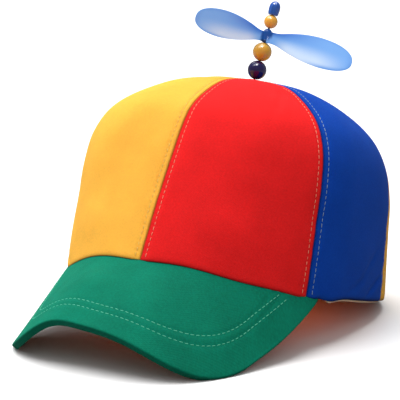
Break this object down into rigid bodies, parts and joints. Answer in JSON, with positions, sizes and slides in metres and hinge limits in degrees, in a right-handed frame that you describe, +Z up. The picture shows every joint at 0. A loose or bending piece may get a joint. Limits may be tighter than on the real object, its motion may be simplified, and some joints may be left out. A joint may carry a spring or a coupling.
{
  "type": "propeller beanie cap",
  "caption": "Panelled cloth cap with a curved visor, and a spinning two-bladed propeller on a beaded stem above its crown.",
  "frame": {"origin": "bottom centre of the whole cap's box, on the surface that it stands on", "axes": "+Z up, +Y from the visor to the back of the crown, +X toward the wearer's left"},
  "size_m": [0.1736, 0.2476, 0.1799],
  "materials": {
    "red_cloth": "brushed cotton twill with stitched seams",
    "blue_cloth": "brushed cotton twill with stitched seams",
    "yellow_cloth": "brushed cotton twill with stitched seams",
    "green_cloth": "cotton twill over a visor board, with two rows of stitching",
    "peach_cloth": "soft folded cotton tape",
    "dark_wire": "dark drawn wire",
    "navy_plastic": "gloss",
    "yellow_plastic": "gloss",
    "sky_plastic": "translucent moulded plastic",
    "blue_plastic": "gloss, faceted"
  },
  "bodies": {
    "cap": {"front_left_panel": "red_cloth", "side_left_panel": "blue_cloth", "back_left_panel": "yellow_cloth", "back_right_panel": "red_cloth", "side_right_panel": "blue_cloth", "front_right_panel": "yellow_cloth", "visor": "green_cloth", "sweatband": "peach_cloth", "stem": "dark_wire", "lower_navy_bead": "navy_plastic", "lower_yellow_bead": "yellow_plastic", "upper_yellow_bead": "yellow_plastic", "top_blue_bead": "blue_plastic"},
    "propeller": {"propeller": "sky_plastic"}
  },
  "joints": [
    {"name": "propeller_spin", "type": "hinge", "parent": "cap", "child": "propeller", "pos_m": [0.00357, 0.06478, 0.16011], "axis": [0.1339, 0.3102, 0.9412], "continuous": true}
  ]
}
